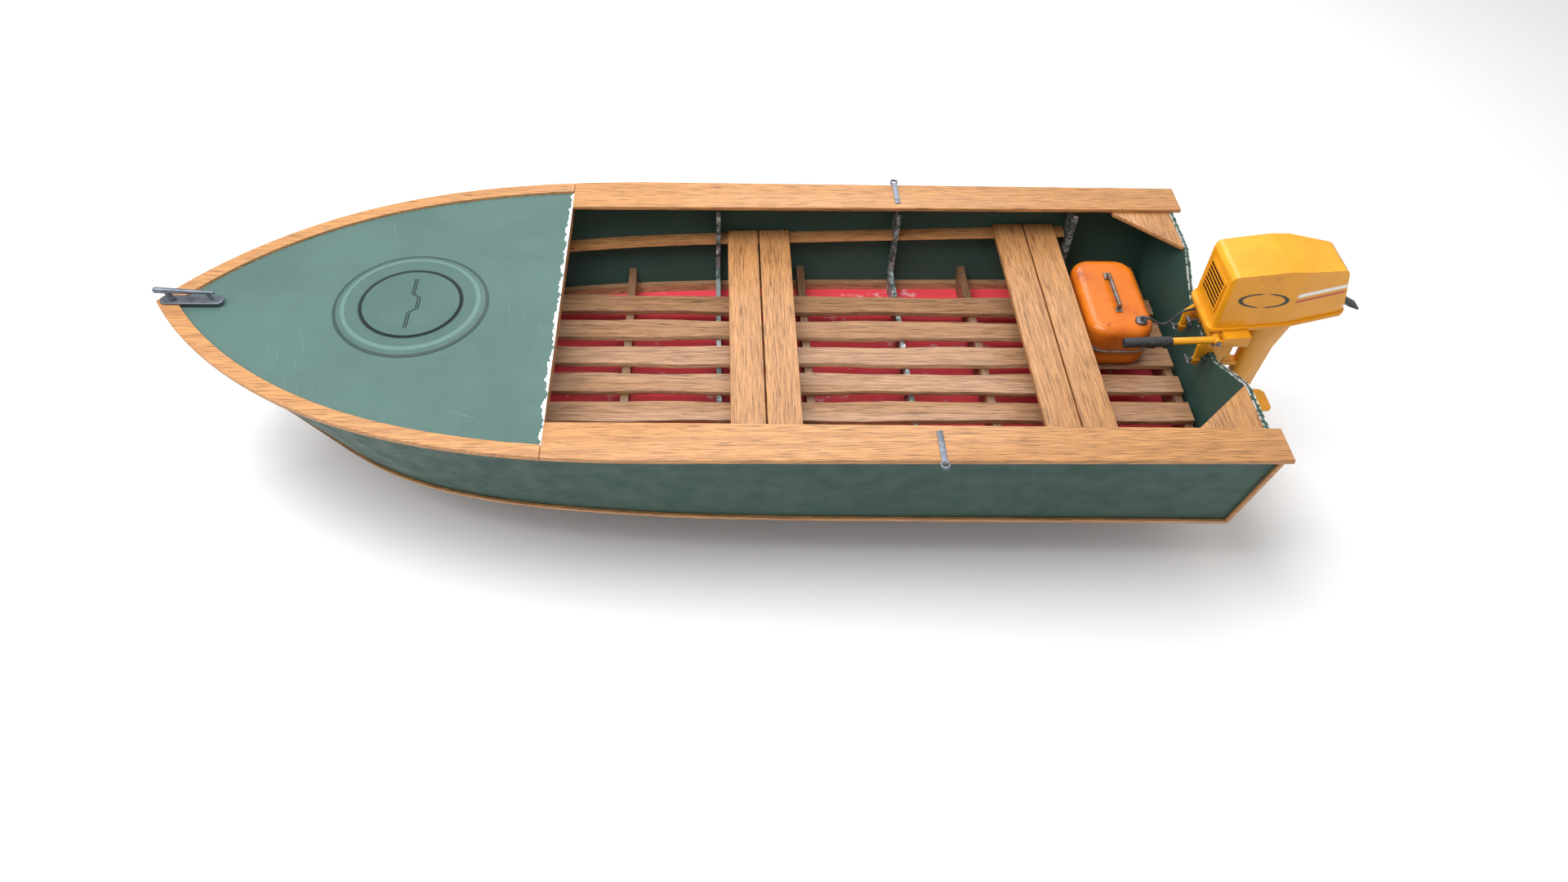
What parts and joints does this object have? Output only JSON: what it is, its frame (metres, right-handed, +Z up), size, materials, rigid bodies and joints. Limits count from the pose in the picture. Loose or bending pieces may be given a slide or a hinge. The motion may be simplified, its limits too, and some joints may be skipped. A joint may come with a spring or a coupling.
{
  "type": "plywood skiff",
  "caption": "Small flat-bottomed plywood skiff with a hatched foredeck, thwarts, portable fuel tank and tilting, steering outboard motor.",
  "frame": {"origin": "middle of the flat bottom's underside, under the middle of the hull's length", "axes": "+X aft along the centreline, +Y to starboard, +Z up"},
  "size_m": [3.9456, 1.4168, 0.879],
  "materials": {
    "hull_paint": "worn dark green paint over plywood",
    "deck_paint": "worn teal-green paint over plywood",
    "bottom_paint": "scuffed red paint over plywood",
    "varnished_wood": "varnished orange-brown wood",
    "inner_wood": "weathered brown wood",
    "galvanised": "dull galvanised metal",
    "hatch_plastic": "painted moulded hatch",
    "tank_paint": "glossy orange enamel",
    "belt_metal": "bare worn seam",
    "hose_rubber": "dark grey rubber",
    "motor_paint": "glossy yellow-orange enamel",
    "black_plastic": "dark grey plastic",
    "cast_metal": "cast and machined metal",
    "shaft_steel": "ground steel"
  },
  "bodies": {
    "hull": {"bottom_panel": "bottom_paint", "side_panel_starboard": "hull_paint", "side_panel_port": "hull_paint", "transom": "hull_paint", "stem_post": "inner_wood", "hull_battens": "inner_wood", "edge_strips": "hull_paint", "bow_rail_starboard": "varnished_wood", "bow_rail_port": "varnished_wood", "gunwale_starboard": "varnished_wood", "gunwale_port": "varnished_wood", "foredeck": "deck_paint", "deck_beam": "inner_wood", "stern_knees": "varnished_wood", "floor_frames": "inner_wood", "seat_risers": "inner_wood", "metal_ribs": "galvanised", "floor_slats": "inner_wood", "front_thwart": "varnished_wood", "rear_thwart": "varnished_wood", "hatch_ring": "hatch_plastic", "bow_handle_plate": "galvanised", "bow_handle_bar": "galvanised", "oarlock_sockets": "galvanised", "tank_upper_shell": "tank_paint", "tank_lower_shell": "tank_paint", "tank_seam_belt": "belt_metal", "tank_handle": "tank_paint", "tank_fuel_fitting": "galvanised", "fuel_hose": "hose_rubber", "clamp_bracket_starboard": "motor_paint", "clamp_bracket_port": "motor_paint", "tilt_bolt": "galvanised"},
    "hatch_seal": {"hatch_seal": "hose_rubber"},
    "hatch_lid": {"hatch_lid": "hatch_plastic"},
    "pad_starboard": {"clamp_pad_starboard": "galvanised"},
    "pad_port": {"clamp_pad_port": "galvanised"},
    "screw_starboard": {"clamp_screw_starboard": "galvanised"},
    "screw_port": {"clamp_screw_port": "galvanised"},
    "swivel": {"swivel_bracket": "motor_paint", "hose_connector": "galvanised"},
    "wing_screw": {"friction_wing_screw": "galvanised"},
    "motor": {"steering_spindle": "motor_paint", "motor_leg": "motor_paint", "gearcase": "motor_paint", "cowl_tray": "motor_paint", "powerhead": "cast_metal", "carburettor": "cast_metal", "spark_plug": "galvanised", "tiller_bracket": "motor_paint", "tiller_bolt": "galvanised"},
    "cowl": {"cowl": "motor_paint"},
    "latch": {"cowl_latch": "black_plastic"},
    "drive": {"drive_shaft": "shaft_steel", "flywheel": "cast_metal"},
    "prop": {"prop_shaft": "shaft_steel", "propeller": "motor_paint", "prop_nut": "galvanised"},
    "tiller": {"tiller_arm": "motor_paint"},
    "grip": {"throttle_grip": "hose_rubber"}
  },
  "joints": [
    {"name": "motor_tilt", "type": "hinge", "parent": "hull", "child": "swivel", "pos_m": [1.705, 0, 0.328], "axis": [0, -1, 0], "range_deg": [0, 60], "deforming": ["fuel_hose"]},
    {"name": "motor_steer", "type": "hinge", "parent": "swivel", "child": "motor", "pos_m": [1.815, 0, 0.25], "axis": [0, 0, 1], "range_deg": [-40, 40]},
    {"name": "tiller_fold", "type": "hinge", "parent": "motor", "child": "tiller", "pos_m": [1.687, -0.125, 0.375], "axis": [0, 1, 0], "range_deg": [0, 90]},
    {"name": "throttle_twist", "type": "hinge", "parent": "tiller", "child": "grip", "pos_m": [1.687, -0.125, 0.375], "axis": [-0.9986, 0, -0.0523], "range_deg": [0, 100]},
    {"name": "drive_spin", "type": "hinge", "parent": "motor", "child": "drive", "pos_m": [1.908, 0, 0.2], "axis": [0, 0, 1], "continuous": true},
    {"name": "prop_spin", "type": "hinge", "parent": "motor", "child": "prop", "pos_m": [2, 0, -0.13], "axis": [1, 0, 0], "continuous": true},
    {"name": "cowl_lift", "type": "slide", "parent": "motor", "child": "cowl", "axis": [-0.1132, 0, 0.9936], "range_m": [0, 0.2]},
    {"name": "cowl_latch_release", "type": "hinge", "parent": "motor", "child": "latch", "pos_m": [2.13054, 0, 0.44835], "axis": [0, 1, 0], "range_deg": [0, 40]},
    {"name": "friction_screw_turn", "type": "hinge", "parent": "swivel", "child": "wing_screw", "pos_m": [1.66, 0.022, 0.332], "axis": [-1, 0, 0], "range_deg": [0, 180]},
    {"name": "clamp_pad_starboard_slide", "type": "slide", "parent": "hull", "child": "pad_starboard", "axis": [-1, 0, 0], "range_m": [0, 0.015]},
    {"name": "clamp_screw_starboard_turn", "type": "hinge", "parent": "pad_starboard", "child": "screw_starboard", "pos_m": [1.66, 0.085, 0.248], "axis": [-1, 0, 0], "range_deg": [0, 1800]},
    {"name": "clamp_pad_port_slide", "type": "slide", "parent": "hull", "child": "pad_port", "axis": [-1, 0, 0], "range_m": [0, 0.015]},
    {"name": "clamp_screw_port_turn", "type": "hinge", "parent": "pad_port", "child": "screw_port", "pos_m": [1.66, -0.085, 0.248], "axis": [-1, 0, 0], "range_deg": [0, 1800]},
    {"name": "hatch_lift", "type": "slide", "parent": "hull", "child": "hatch_seal", "axis": [0, 0, 1], "range_m": [0, 0.15]},
    {"name": "hatch_turn", "type": "hinge", "parent": "hatch_seal", "child": "hatch_lid", "pos_m": [-0.954, 0, 0.39], "axis": [0, 0, 1], "range_deg": [0, 90]}
  ],
  "couplings": [
    {"joint": "prop_spin", "follows": "drive_spin", "ratio": 0.54167},
    {"joint": "tiller_fold", "follows": "motor_tilt", "ratio": 1.3},
    {"joint": "clamp_screw_starboard_turn", "follows": "clamp_pad_starboard_slide", "rad_per_m": 2094.4},
    {"joint": "clamp_screw_port_turn", "follows": "clamp_pad_port_slide", "rad_per_m": 2094.4}
  ]
}
